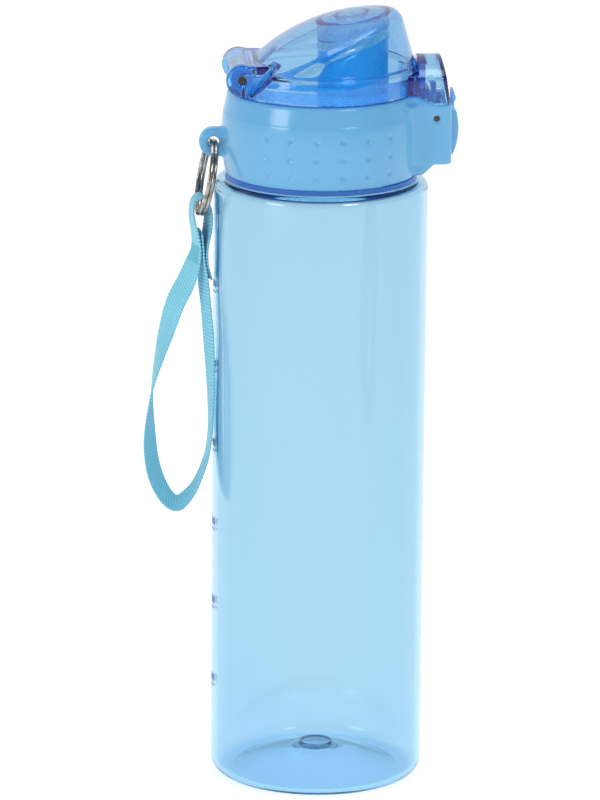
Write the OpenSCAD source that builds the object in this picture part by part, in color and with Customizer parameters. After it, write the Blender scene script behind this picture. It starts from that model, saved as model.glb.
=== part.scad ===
// Clear drinking bottle with a screw cap, a push-button flip lid and a webbing wrist strap.
// Origin at the centre of the foot ring, +Z up, +X towards the latch, hinge and strap at -X.
// Every length is in millimetres.

/* [Bottle] */
// Outside diameter of the bottle body
body_d = 72; // [71:0.5:73]
// Wall thickness of the bottle
wall = 2; // [1.8:0.1:2.2]
// Height of the shoulder above the foot ring
shoulder_z = 207.6; // [180:0.1:207.6]
// Height of the domed base at its middle
punt_h = 7; // [4:0.5:8]
// Diameter of the round boss in the middle of the base
boss_d = 14.6; // [10:0.2:16]

/* [Cap] */
// Axial rise of the cap in one turn
pitch = 4; // [3.8:0.1:4.2]
// Turns of thread on the neck
thread_turns = 1.25; // [1:0.25:1.5]
// Diameter of the dimples in the collar
dimple_d = 2.2; // [1.6:0.1:2.6]
// Angle between neighbouring dimples, in degrees
dimple_step = 15.3; // [14:0.1:15.5]
// Slope of the spout's rim, in degrees
rim_tilt = 14.3; // [13:0.1:15]

/* [Lid] */
// Radius of the round crown of the lid
crown_r = 60; // [59.5:0.1:60.5]
// Thickness of the lid's walls
lid_wall = 2; // [1.8:0.1:2.1]
// Diameter of the hinge pin
hinge_pin_d = 3; // [2.9:0.05:3.05]

/* [Latch] */
// Diameter of the button's pin
button_pin_d = 2; // [1.9:0.05:2.05]
// Width of the button's pad
pad_w = 17.2; // [15:0.2:17.4]

/* [Strap] */
// Width of the webbing
strap_w = 10; // [8:0.5:10]
// Thickness of the webbing
strap_t = 0.8; // [0.6:0.1:0.8]
// Middle radius of the split ring
ring_r = 12.5; // [12.3:0.1:12.6]
// Diameter of the split ring's wire
ring_wire_d = 1.4; // [1.2:0.1:1.4]

/* [Hidden] */
$fn = 96;
big = 200;

// Bottle
body_r = body_d / 2;
foot_r = 4.2;                         // rounding between the foot ring and the wall
punt_r = body_r - 8;                  // outer edge of the domed base
boss_h = 0.9;
neck_r = body_r - 7.8;
neck_in = neck_r - 2.4;
neck_top = shoulder_z + 25.4;
thread_h = 1.1;
thread_z = shoulder_z + 8;
seg = 30;                             // angle of one step of thread

// Cap
skirt_in = neck_r + thread_h + 0.3;
skirt_r = skirt_in + 1;
deck_z = neck_top + 2.4;
deck_top = deck_z + 2.1;
deck_r = skirt_r - 2.3;
cap_z = shoulder_z + 0.3;             // underside of the cap's visible ring
collar_z = cap_z + 1.55;
collar_top = shoulder_z + 30;
collar_in = skirt_r + 0.15;
spout_x = 10.4;
spout_r = 11.75;
spout_in = 10.25;
rim_z = shoulder_z + 46.1;            // height of the spout's rim on its own axis

// Lid
crown_c = [19, 0, shoulder_z - 2.8];
flange_z = collar_top + 0.3;
flange_r = 31.6;
dome_low = 31.1;                      // radius of the tapered dome at the ledge
dome_slope = 0.285;                   // how much narrower it gets per millimetre of height
ledge_z = shoulder_z + 39.4;
hinge_x = -27.3;
hinge_z = shoulder_z + 35.8;
ear_r = 5.4;
ear_y = 16.4;                         // outer face of each hinge ear
knuckle_y = 12.5;                     // inner face of each hinge ear
run_fit = 0.05;                       // radial clearance of a pin that turns

// Latch
housing_x = 42.9;                     // front face
housing_y = 14;
housing_z = shoulder_z + 6.7;
parting_z = shoulder_z + 27;          // top of the latch housing
cowl_y = 15.2;
cowl_wall = 1.4;
pivot_x = 37.6;
pivot_z = shoulder_z + 22.4;
pad_z = shoulder_z + 9.1;
pad_h = 15;
catch_z = shoulder_z + 31;            // top of the lid's catch

// Strap and split ring
lug_x = -36.1;
lug_z = shoulder_z + 12.2;
lug_r = 4.9;
lug_hole_r = 1.95;
ring_lean = 10.5;                     // degrees outwards at rest
ring_yaw = 4;

function arc(c, r, a0, a1, n) = [for (i = [0 : n]) c + r * [cos(a0 + (a1 - a0) * i / n),
                                                            sin(a0 + (a1 - a0) * i / n)]];
function punt(r) = punt_h * (1 - pow((r - 8) / (punt_r - 8), 2));
function punt_line(r0, r1, rise, n) = [for (i = [0 : n]) let (r = r0 + (r1 - r0) * i / n)
                                       [r, punt(r) + rise]];

// ---- Swept shapes: a closed section carried along a list of points ----
function unit(v) = v / norm(v);
function catmull(a, b, c, d, t) = 0.5 * (2 * b + (c - a) * t + (2 * a - 5 * b + 4 * c - d) * t * t
                                  + (3 * b - a - 3 * c + d) * t * t * t);
function smooth(p, n) = [for (i = [0 : len(p) - 2], k = [0 : n - 1])
                         catmull(p[max(i - 1, 0)], p[i], p[i + 1], p[min(i + 2, len(p) - 1)], k / n),
                         p[len(p) - 1]];
function tangent(p, i) = unit(p[min(i + 1, len(p) - 1)] - p[max(i - 1, 0)]);

// rings is a list of point loops of equal length, each wound the same way
module skin(rings) {
    m = len(rings[0]);
    n = len(rings);
    sides = [for (i = [0 : n - 2], j = [0 : m - 1]) let (k = (j + 1) % m)
             each [[i * m + j, i * m + k, (i + 1) * m + k], [i * m + j, (i + 1) * m + k, (i + 1) * m + j]]];
    first = [for (j = [m - 1 : -1 : 0]) j];
    last = [for (j = [0 : m - 1]) (n - 1) * m + j];
    polyhedron([for (ring = rings) each ring], concat(sides, [first, last]));
}

// A round wire along p, kept square to the direction `side` where the path allows
module wire(p, d, side, n = 6) {
    skin([for (i = [0 : len(p) - 1]) let (t = tangent(p, i), u = unit(cross(t, side)), v = cross(t, u))
          [for (j = [0 : n - 1]) p[i] + d / 2 * (cos(360 * j / n) * u + sin(360 * j / n) * v)]]);
}

// ---- Bottle ----
// One screw ridge made of short steps: root and crest radii, start height, phase in steps
module screw(root, crest, z0, turns) {
    for (i = [0 : turns * 360 / seg - 1])
        rotate([0, 0, i * seg])
            translate([0, 0, z0 + i * pitch * seg / 360])
                rotate_extrude(angle = seg)
                    polygon([[root, -0.9], [crest, -0.45], [crest, 0.45], [root, 0.9]]);
}

module bottle_body() {
    rim = 0.6;
    inner_r = body_r - wall;
    color("lightblue", 0.45) {
        rotate_extrude()
            polygon(concat(
                [[0, punt_h]], punt_line(8, punt_r, 0, 8),
                arc([body_r - foot_r, foot_r], foot_r, -90, 0, 8),
                arc([body_r - 2, shoulder_z - 2], 2, 0, 90, 5),
                [[neck_r, shoulder_z], [neck_r, neck_top - rim], [neck_r - rim, neck_top],
                 [neck_in + rim, neck_top], [neck_in, neck_top - rim], [neck_in, shoulder_z - wall]],
                arc([inner_r - 1.2, shoulder_z - wall - 1.2], 1.2, 90, 0, 4),
                arc([inner_r - 3, wall + 3], 3, 0, -90, 6),
                punt_line(punt_r, 8, wall, 8),
                [[boss_d / 2, punt_h + wall], [boss_d / 2, punt_h + wall + boss_h],
                 [0, punt_h + wall + boss_h]]));
        screw(neck_r - 0.3, neck_r + thread_h, thread_z, thread_turns);
    }
}

// ---- Cap ----
module neck_gasket() {
    color("white", 0.8)
        difference() {
            translate([0, 0, neck_top + 0.05]) cylinder(h = deck_z - neck_top - 0.1, r = neck_r + 0.6);
            translate([0, 0, neck_top - 1]) cylinder(h = 5, r = neck_in + 0.3);
        }
}

// Ball that shapes the lid's crown, with its poles out at the sides
module crown_ball(r) {
    translate(crown_c) rotate([90, 0, 0]) sphere(r = r);
}

// Everything above the sloped plane of the spout's rim, raised by `rise`
module above_rim(rise = 0) {
    translate([spout_x, 0, rim_z])
        rotate([0, -rim_tilt, 0])
            translate([-big / 2, -big / 2, rise])
                cube([big, big, big]);
}

module inner_cap() {
    color("dodgerblue", 0.8) {
        difference() {
            union() {
                rotate_extrude()
                    polygon([[skirt_in, cap_z], [body_r - 3.8, cap_z], [body_r - 3.8, collar_z - 0.05],
                             [skirt_r, collar_z - 0.05], [skirt_r, collar_top - 1.55],
                             [deck_r, collar_top - 1.55], [deck_r, deck_top], [0, deck_top],
                             [0, deck_z], [skirt_in, deck_z]]);
                difference() {
                    translate([spout_x, 0, deck_z + 0.5]) cylinder(h = 30, r = spout_r);
                    above_rim();
                }
                // hinge knuckles on the deck
                for (y = [-12.2, 7.4])
                    translate([hinge_x, y, hinge_z]) {
                        rotate([-90, 0, 0]) cylinder(h = 4.8, r = 3.8);
                        translate([2, 0, deck_top - hinge_z - 1]) cube([2.7, 4.8, 5.5]);
                    }
            }
            translate([spout_x, 0, deck_z - 1]) cylinder(h = 40, r = spout_in);
            // hinge pin bore
            translate([hinge_x, -20, hinge_z])
                rotate([-90, 0, 0]) cylinder(h = 40, r = hinge_pin_d / 2 + 0.02);
        }
        screw(skirt_in + 0.3, skirt_in - thread_h, thread_z + pitch / 2 - pitch, thread_turns);
    }
}

// Plan outline of the latch housing and of the lid's cowl: square at the back, round at the front
module front_plan(x0, x1, y, corner) {
    polygon(concat([[x0, -y]], arc([x1 - corner, -y + corner], corner, -90, 0, 6),
                   arc([x1 - corner, y - corner], corner, 0, 90, 6), [[x0, y]]));
}

module collar_shell() {
    rotate_extrude()
        polygon([[collar_in, collar_z], [body_r - 3.7, collar_z], [body_r - 2.8, collar_z + 6.8],
                 [body_r - 2.5, collar_z + 14.3], [body_r - 2.8, collar_z + 19.1],
                 [body_r - 3, collar_z + 21.2], [body_r - 3.2, collar_z + 21.3],
                 [body_r - 4.1, collar_top - 2.4], [body_r - 4.5, collar_top - 0.8],
                 [body_r - 5.3, collar_top], [deck_r + 0.3, collar_top],
                 [deck_r + 0.3, collar_top - 1.5], [collar_in, collar_top - 1.5]]);
}

module latch_housing() {
    slope = 3.6;
    blend = 8;                        // radius of the hollow fillets between the collar and the housing
    turn = asin((housing_y + blend) / (body_r - 3 + blend));
    difference() {
        translate([0, 0, housing_z])
            linear_extrude(height = parting_z - housing_z) {
                front_plan(28, housing_x, housing_y, 3);
                for (side = [0, 1])
                    mirror([0, side])
                        polygon(concat([[20, 0], [24, -12]],
                                       arc((body_r - 3 + blend) * [cos(turn), -sin(turn)], blend,
                                           180 - turn, 90, 8), [[36, 0]]));
            }
        cylinder(h = big * 2, r = collar_in);
    }
    // cheeks that rise to the collar's top on both sides of the latch
    intersection() {
        cheek_profile(0, housing_y);
        difference() {
            translate([24, -housing_y, 0]) cube([20, 2 * housing_y, big * 2]);
            translate([24, -housing_y + 1, 0]) cube([20, 2 * housing_y - 2, big * 2]);
            cylinder(h = big * 2, r = flange_r + 0.3);
        }
    }
    // sloped foot under the housing
    difference() {
        rotate([90, 0, 0])
            translate([0, 0, -housing_y])
                linear_extrude(height = 2 * housing_y)
                    polygon([[28, housing_z], [housing_x - 6, housing_z], [body_r - 2.8, housing_z - slope],
                             [28, housing_z - slope]]);
        cylinder(h = big * 2, r = collar_in);
    }
}

module collar() {
    window_z = pad_z - 1;
    color("skyblue")
        difference() {
            union() {
                collar_shell();
                latch_housing();
                // strap lug
                translate([lug_x, 2, lug_z]) rotate([90, 0, 0]) cylinder(h = 4, r = lug_r);
                translate([lug_x, -2, lug_z - lug_r]) cube([4.2, 4, 2 * lug_r]);
            }
            // clearance for the lid's ears
            for (y = [-ear_y - 0.4, knuckle_y - 0.2])
                translate([hinge_x, y, hinge_z]) rotate([-90, 0, 0]) cylinder(h = 4.5, r = ear_r + 0.5);
            // lug hole
            translate([lug_x, 5, lug_z]) rotate([90, 0, 0]) cylinder(h = 10, r = lug_hole_r);
            // button well, open at the top for the hook and at the front for the pad
            translate([34.8, -9.2, window_z]) cube([6.2, 18.4, big]);
            translate([38, -9.2, window_z]) cube([10, 18.4, pad_h + 1.25]);
            // slot for the lock slider's stem
            translate([40, -4.4, parting_z - 2]) cube([6, 8.8, 1.4]);
            // button pin bore
            translate([pivot_x, -20, pivot_z])
                rotate([-90, 0, 0]) cylinder(h = 40, r = button_pin_d / 2 + 0.02);
            // dimples in three rows on the front and the back
            for (side = [0, 180], k = [-2 : 3], row = [0 : 2])
                rotate([0, 0, side - 96.1 + k * dimple_step + (side == 0 ? 0 : -2.1)])
                    translate([body_r - (row == 1 ? 3.05 : 3.3), 0, shoulder_z + 6.6 + row * 6.05])
                        rotate([0, 90, 0]) cylinder(h = 1.5, r1 = dimple_d / 7, r2 = dimple_d * 1.3);
        }
}

module spout_seal() {
    color("ghostwhite", 0.8) {
        translate([spout_x, 0, rim_z])
            rotate([0, -rim_tilt, 0]) {
                translate([0, 0, 0.1]) cylinder(h = 1.7, r = spout_r + 0.4);
                translate([0, 0, -1.2]) cylinder(h = 1.6, r = spout_in - 0.65);
            }
        difference() {
            intersection() {
                translate([spout_x, 0, rim_z - 10]) cylinder(h = 30, r = 10.5);
                above_rim(1.2);
            }
            above_rim(4.6);
            translate([spout_x, 0, rim_z - 10]) cylinder(h = 30, r = 9);
        }
    }
}

// ---- Lid ----
// Regions beside the hinge ears that the lid's sloped ends leave free; `inset` thickens the walls
module end_slopes(inset = 0) {
    x = hinge_x + inset * 1.3;
    for (y = [-ear_y + 0.3 + inset, ear_y - 0.3 - inset + big])
        translate([0, y, 0])
            rotate([90, 0, 0])
                linear_extrude(height = big)
                    polygon([[-big, flange_z - 1], [x + 0.4, flange_z - 1], [x + 10.9, ledge_z + 1.7],
                             [-big, ledge_z + 1.7]]);
}

// Tapered solid that bounds the dome, taken in by `inset`
module dome_cone(inset) {
    low = inset > 0 ? -5 : 0;
    translate([0, 0, ledge_z + low])
        cylinder(h = 40, r1 = dome_low - inset - dome_slope * low,
                 r2 = dome_low - inset - dome_slope * (40 + low));
}

module lid_outer() {
    difference() {
        union() {
            rotate_extrude()
                polygon(concat([[0, flange_z], [flange_r, flange_z]],
                               [[flange_r, ledge_z - 1.2], [dome_low + 0.25, ledge_z], [0, ledge_z]]));
            intersection() {
                dome_cone(0);
                crown_ball(crown_r);
            }
        }
        end_slopes();
    }
}

module lid_hollow() {
    difference() {
        union() {
            rotate_extrude()
                polygon(concat([[0, flange_z - 5], [flange_r - 1.6, flange_z - 5]],
                               [[flange_r - 1.6, ledge_z - 1.6], [0, ledge_z - 1.6]]));
            intersection() {
                dome_cone(lid_wall);
                crown_ball(crown_r - lid_wall);
            }
        }
        end_slopes(lid_wall);
    }
}

// Side profile under the cowl's lower edge: level with the collar's top, then sloping down to the parting
module cheek_profile(gap, y) {
    translate([0, y, 0])
        rotate([90, 0, 0])
            linear_extrude(height = 2 * y)
                polygon([[24, parting_z - 1 + gap], [24, collar_top + gap], [30.2, collar_top + gap],
                         [36.8, parting_z + gap], [36.8, parting_z - 1 + gap]]);
}

// The latch cowl's outer shape, with its wall taken off by `inset`
module cowl_block(inset = 0) {
    arch_r = 25.6;
    intersection() {
        translate([0, 0, parting_z + 0.3 - inset])
            linear_extrude(height = 20) front_plan(24, 42.6 - inset, cowl_y - inset, 4 - inset);
        translate([0, 0, shoulder_z + 41.4 - arch_r])
            rotate([0, 90, 0]) cylinder(h = 60, r = arch_r - inset);
        translate([42.4 - inset, -big / 2, parting_z])
            rotate([0, -10, 0]) translate([-big, 0, -big / 2]) cube([big, big, big]);
    }
}

module flip_lid() {
    hinge_roof = 1.1;
    cover_end = 145;
    color("royalblue", 0.5)
        difference() {
            union() {
                difference() {
                    union() {
                        lid_outer();
                        // hinge block
                        translate([hinge_x, -ear_y, hinge_z])
                            rotate([-90, 0, 0]) cylinder(h = 2 * ear_y, r = ear_r);
                        translate([hinge_x, -ear_y, flange_z])
                            cube([10, 2 * ear_y, hinge_z + ear_r - flange_z - 0.5]);
                        difference() {
                            cowl_block();
                            translate([0, 0, shoulder_z]) cylinder(h = 30.3, r = 31.5);
                            cheek_profile(0.3, cowl_y + 1);
                            // gap between the cowl and the dome
                            translate([20, -big / 2, ledge_z - 2.6]) cube([11.6, big, big]);
                        }
                    }
                    lid_hollow();
                    difference() {
                        cowl_block(cowl_wall);
                        translate([0, 0, shoulder_z]) cylinder(h = 60, r = 32.6);
                    }
                }
                // catch inside the cowl, under the button's hook
                translate([32.2, -6.5, catch_z - 4]) cube([2, 13, 13.6]);
                translate([34, -6.5, catch_z - 2]) cube([1.6, 13, 2]);
                // socket for the spout's seal
                difference() {
                    intersection() {
                        translate([spout_x, 0, rim_z]) cylinder(h = 20, r = 12);
                        crown_ball(crown_r - 0.5);
                        above_rim(2.6);
                    }
                    translate([spout_x, 0, rim_z - 5]) cylinder(h = 40, r = 10.7);
                }
                // ring rib under the crown
                difference() {
                    intersection() {
                        translate([spout_x - 0.6, 0, rim_z]) cylinder(h = 20, r = 5.5);
                        crown_ball(crown_r - 0.5);
                    }
                    crown_ball(crown_r - lid_wall - 1);
                    translate([spout_x - 0.6, 0, rim_z - 5]) cylinder(h = 40, r = 4.6);
                }
            }
            // room for the knuckles and the spring between the ears; the cover ends at cover_end,
            // so that it clears the deck when the lid is open
            translate([0, knuckle_y, 0])
                rotate([90, 0, 0])
                    linear_extrude(height = 2 * knuckle_y) {
                        translate([hinge_x, hinge_z]) circle(r = ear_r - hinge_roof);
                        translate([hinge_x - 8, flange_z - 5]) square([17, hinge_z - flange_z + 5]);
                        translate([hinge_x, hinge_z - 1]) square([5, ear_r - hinge_roof + 0.5]);
                        translate([hinge_x, hinge_z]) rotate(cover_end) square(10);
                    }
            // hinge pin bores
            translate([hinge_x, -20, hinge_z])
                rotate([-90, 0, 0]) cylinder(h = 40, r = hinge_pin_d / 2 + run_fit);
        }
}

module hinge_pin() {
    color("silver")
        translate([hinge_x, -ear_y + 0.9, hinge_z])
            rotate([-90, 0, 0]) cylinder(h = 2 * ear_y - 1.8, r = hinge_pin_d / 2);
}

module lid_spring() {
    r = 2.6;
    turns = 8;
    steps = 14;
    half = 5.6;
    coil = [for (i = [0 : turns * steps]) let (a = 250 - 360 * i / steps)
            [hinge_x + r * cos(a), -half + 2 * half * i / (turns * steps), hinge_z + r * sin(a)]];
    end = len(coil) - 1;
    leg_a = coil[0] + [5.5, 0, -1.4];
    leg_b = coil[end] + [6.5, 0, 0.3];
    color("silver") wire(concat([leg_a], coil, [leg_b]), 0.8, [0, 1, 0]);
}

// ---- Latch ----
module push_button() {
    bulge_r = 22;
    color("lightskyblue")
        difference() {
            union() {
                // pad: a plate with a rounded face
                intersection() {
                    translate([41.4, -pad_w / 2, pad_z]) cube([6, pad_w, pad_h]);
                    translate([45.4 - bulge_r, pad_w, pad_z + 8.8])
                        rotate([90, 0, 0]) cylinder(h = 2 * pad_w, r = bulge_r);
                }
                // arm from the pad to the pivot and up to the hook
                translate([pivot_x, -6, pivot_z - 2.2]) cube([4.5, 12, 3.6]);
                translate([pivot_x, -6, pivot_z]) rotate([-90, 0, 0]) cylinder(h = 12, r = 2.4);
                translate([36.7, -6, pivot_z]) cube([1.2, 12, catch_z + 2.4 - pivot_z]);
                translate([36.1, -6, catch_z + 0.5]) cube([1.5, 12, 1.9]);
            }
            translate([pivot_x, -10, pivot_z])
                rotate([-90, 0, 0]) cylinder(h = 20, r = button_pin_d / 2 + run_fit);
        }
}

module button_pin() {
    color("silver")
        translate([pivot_x, -housing_y + 0.4, pivot_z])
            rotate([-90, 0, 0]) cylinder(h = 2 * housing_y - 0.8, r = button_pin_d / 2);
}

module button_spring() {
    r = 2;
    turns = 6;
    steps = 12;
    x0 = 35.2;
    x1 = 41.0;
    coil = [for (i = [0 : turns * steps]) let (a = 360 * i / steps)
            [x0 + (x1 - x0) * i / (turns * steps), r * cos(a), pad_z + 5 + r * sin(a)]];
    color("silver") wire(coil, 0.5, [1, 0, 0]);
}

module lock_slider() {
    plate_z = parting_z - 2;
    color("lightskyblue")
        translate([0, -2, 0]) {
            // finger ridge on a flat plate
            translate([43.2, -4, plate_z]) cube([0.8, 8, 4.9]);
            intersection() {
                translate([42.6, -4, plate_z + 2.9]) rotate([-90, 0, 0]) cylinder(h = 8, r = 1.9);
                translate([43.2, -4, plate_z]) cube([4, 8, 4.9]);
            }
            // stem through the slot and its head behind the wall
            translate([40.4, -1.5, plate_z + 0.15]) cube([3.2, 3, 1.1]);
            translate([39.8, -3, plate_z - 0.1]) cube([0.9, 6, 1.6]);
        }
}

// ---- Strap ----
module split_ring() {
    gap = 0.68;
    r = ring_wire_d / 2;
    wires = concat(arc([gap, 0], r, -104, 104, 10), arc([-gap, 0], r, 76, 284, 10));
    color("silver")
        translate([lug_x, 0, lug_z])
            rotate([0, ring_lean, 0])
                rotate([0, 0, ring_yaw])
                    translate([0, 0, -ring_r])
                        rotate([0, 90, 0])
                            rotate_extrude()
                                polygon([for (p = wires) [ring_r + p[1], p[0]]]);
}

// Route of the webbing's middle line: x, y, z and the tilt of its width, in degrees outwards
strap_route = [
    [-40.4, 0, 189, 6], [-40.05, 0, 184, 8], [-39.9, 0, 180, 10], [-39.6, -0.5, 176, 15],
    [-39.1, -1.5, 170, 19], [-38.3, -4, 162, 18], [-37.6, -6, 152, 18], [-37.0, -6, 140, 13],
    [-36.8, -6, 130, 8], [-37.0, -6, 121, 4], [-38.2, -5.5, 112, 3], [-41.4, -5, 103, 6],
    [-44.6, -4.5, 98, 12], [-48.0, -4, 95.4, 18], [-51.6, -3.5, 97.6, 24], [-55.0, -3, 104, 28],
    [-56.7, -2.5, 111, 28], [-57.3, -2, 119, 24], [-57.0, -1.5, 129, 10], [-56.0, -1, 137, 0],
    [-54.2, -0.5, 145, -12], [-51.8, 0, 154, -26], [-48.7, 0, 164, -34], [-45.3, 0, 171, -33],
    [-43.2, 0, 176.5, -28], [-41.7, 0, 182, -17], [-41.9, 0, 187, -13], [-42.9, 0, 192, -10],
    [-43.3, 0, 196, -6], [-42.7, 0, 199.4, -3], [-40.5, 0, 201.1, 0], [-38.4, 0, 199.4, 6],
    [-37.6, 0, 196, 11], [-37.8, 0, 191, 14], [-38.4, 0, 187, 12], [-38.85, 0, 183, 9],
    [-38.7, 0, 179, 8], [-38.2, 0, 176, 10], [-37.5, 0, 173, 12]];

function strap_ring(p, tilt, t) = let (n = unit(cross(t, [0, 1, 0])),
    w = unit([0, -cos(tilt), 0] + sin(tilt) * n), h = cross(t, w), a = strap_w / 2 * w, b = strap_t / 2 * h)
    [p + a + b, p - a + b, p - a - b, p + a - b];

module strap() {
    fine = smooth(strap_route, 2);
    p = [for (q = fine) [q[0], q[1], q[2]]];
    color("mediumturquoise")
        skin([for (i = [0 : len(p) - 1]) strap_ring(p[i], fine[i][3], tangent(p, i))]);
}

bottle_body();
neck_gasket();
inner_cap();
collar();
flip_lid();
spout_seal();
hinge_pin();
lid_spring();
push_button();
button_pin();
button_spring();
lock_slider();
split_ring();
strap();
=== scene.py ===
"""Looks of the clear drinking bottle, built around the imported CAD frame. Lengths are in metres."""
import math

import bmesh
import bpy
import numpy as np
from mathutils import Matrix, Vector


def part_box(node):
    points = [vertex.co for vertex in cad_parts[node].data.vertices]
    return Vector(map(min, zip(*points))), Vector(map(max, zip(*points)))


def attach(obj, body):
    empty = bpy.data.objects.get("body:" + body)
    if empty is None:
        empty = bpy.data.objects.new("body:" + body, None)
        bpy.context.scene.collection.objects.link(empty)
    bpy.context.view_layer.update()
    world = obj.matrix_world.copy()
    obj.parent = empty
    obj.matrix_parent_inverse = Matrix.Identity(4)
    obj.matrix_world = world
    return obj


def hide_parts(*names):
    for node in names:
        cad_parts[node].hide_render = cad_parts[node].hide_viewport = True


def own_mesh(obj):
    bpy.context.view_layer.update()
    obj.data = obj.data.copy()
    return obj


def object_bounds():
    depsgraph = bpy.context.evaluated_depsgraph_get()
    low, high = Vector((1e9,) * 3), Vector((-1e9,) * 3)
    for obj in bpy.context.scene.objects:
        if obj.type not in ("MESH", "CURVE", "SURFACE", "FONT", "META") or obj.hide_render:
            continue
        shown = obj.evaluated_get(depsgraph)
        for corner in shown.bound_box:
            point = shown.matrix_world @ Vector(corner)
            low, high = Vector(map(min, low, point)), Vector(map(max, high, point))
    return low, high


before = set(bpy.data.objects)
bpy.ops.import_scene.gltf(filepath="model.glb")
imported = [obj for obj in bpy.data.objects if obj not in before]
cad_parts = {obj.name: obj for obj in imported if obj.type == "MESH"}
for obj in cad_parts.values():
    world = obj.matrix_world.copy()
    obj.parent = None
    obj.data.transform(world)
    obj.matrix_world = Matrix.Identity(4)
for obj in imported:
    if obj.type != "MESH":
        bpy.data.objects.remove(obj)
cad_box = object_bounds()

MM = 0.001
scene = bpy.context.scene
scene.view_settings.view_transform = "Standard"
scene.view_settings.look = "None"
for name, count in (("max_bounces", 48), ("transmission_bounces", 44), ("glossy_bounces", 12),
                    ("transparent_max_bounces", 32), ("diffuse_bounces", 3)):
    setattr(scene.cycles, name, count)
scene.cycles.sample_clamp_indirect = 6.0
scene.cycles.caustics_reflective = False
scene.cycles.blur_glossy = 0.5


# ---------------------------------------------------------------- camera
VIEW_TURN = math.radians(3.7)          # the camera stands this far round towards the hinge
VIEW_BACK, VIEW_UP = 2.0, 0.6532
VIEW_AIM = (-0.006315, 0, 0.129985)    # the point in the middle of the view
VIEW_ROLL = 0.0087                     # tilt to one side, in radians
SENSOR, LENS = 36, 274.88              # in mm


def from_view(x, y, z):
    c, s = math.cos(VIEW_TURN), math.sin(VIEW_TURN)
    return Vector((x * c + y * s, -x * s + y * c, z))


def add_camera():
    data = bpy.data.cameras.new("camera")
    data.sensor_width = SENSOR
    data.sensor_fit = "AUTO"
    data.lens = LENS
    data.clip_start, data.clip_end = 0.1, 60
    cam = bpy.data.objects.new("camera", data)
    scene.collection.objects.link(cam)
    cam.location = from_view(0, -VIEW_BACK, VIEW_UP)
    aim = from_view(*VIEW_AIM)
    turn = (aim - cam.location).to_track_quat("-Z", "Y").to_matrix()
    roll = Matrix.Rotation(VIEW_ROLL, 3, "Z")
    cam.rotation_euler = (turn @ roll).to_euler()
    scene.camera = cam


add_camera()


# ---------------------------------------------------------------- stage
def add_floor():
    bm = bmesh.new()
    bmesh.ops.create_circle(bm, cap_ends=True, segments=96, radius=8)
    mesh = bpy.data.meshes.new("floor")
    bm.to_mesh(mesh)
    bm.free()
    floor = bpy.data.objects.new("floor", mesh)
    scene.collection.objects.link(floor)
    floor.location.z = cad_box[0].z - 0.0001
    mat = bpy.data.materials.new("floor")
    mat.use_nodes = True
    b = mat.node_tree.nodes["Principled BSDF"]
    b.inputs["Base Color"].default_value = (0.8, 0.8, 0.8, 1)
    b.inputs["Roughness"].default_value = 0.9
    b.inputs["Specular IOR Level"].default_value = 0.1
    b.inputs["Emission Color"].default_value = (1, 1, 1, 1)
    b.inputs["Emission Strength"].default_value = 0.62
    mesh.materials.append(mat)


def add_light(name, at, aim, size, power):
    data = bpy.data.lights.new(name, "AREA")
    data.shape = "RECTANGLE"
    data.size, data.size_y = size
    data.energy = power
    lamp = bpy.data.objects.new(name, data)
    scene.collection.objects.link(lamp)
    lamp.location = from_view(*at)
    lamp.rotation_euler = (from_view(*aim) - lamp.location).to_track_quat("-Z", "Y").to_euler()


def add_world():
    """White where it is seen, also through clear plastic, dimmer as a source of light, and darker in the
    reflections of the room in front of the bottle than in those of the backdrop behind it."""
    world = bpy.data.worlds.new("world")
    world.use_nodes = True
    tree = world.node_tree
    path = tree.nodes.new("ShaderNodeLightPath")
    towards = tree.nodes.new("ShaderNodeTexCoord")
    split = tree.nodes.new("ShaderNodeSeparateXYZ")
    tree.links.new(towards.outputs["Generated"], split.inputs["Vector"])
    behind = tree.nodes.new("ShaderNodeMapRange")
    for key, value in (("From Min", -0.1), ("From Max", 0.6), ("To Min", 0.25), ("To Max", 0.9)):
        behind.inputs[key].default_value = value
    tree.links.new(split.outputs["Y"], behind.inputs["Value"])
    mirrored = tree.nodes.new("ShaderNodeMix")
    tree.links.new(path.outputs["Is Glossy Ray"], mirrored.inputs["Factor"])
    mirrored.inputs["A"].default_value = 1.0
    tree.links.new(behind.outputs["Result"], mirrored.inputs["B"])
    lit = tree.nodes.new("ShaderNodeMix")
    tree.links.new(path.outputs["Is Diffuse Ray"], lit.inputs["Factor"])
    tree.links.new(mirrored.outputs["Result"], lit.inputs["A"])
    lit.inputs["B"].default_value = 0.35
    tree.links.new(lit.outputs["Result"], tree.nodes["Background"].inputs["Strength"])
    tree.nodes["Background"].inputs["Color"].default_value = (1, 1, 1, 1)
    scene.world = world


add_floor()
add_world()
add_light("key", (-1.15, -0.98, 0.52), (0, 0, 0.2), (0.55, 0.5), 5.6)
add_light("fill", (0.75, -1.05, 1.05), (0, 0, 0.2), (0.4, 0.4), 5)
add_light("top", (0, 0.4, 2.0), (0, 0, 0.1), (1.4, 0.8), 10)


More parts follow.
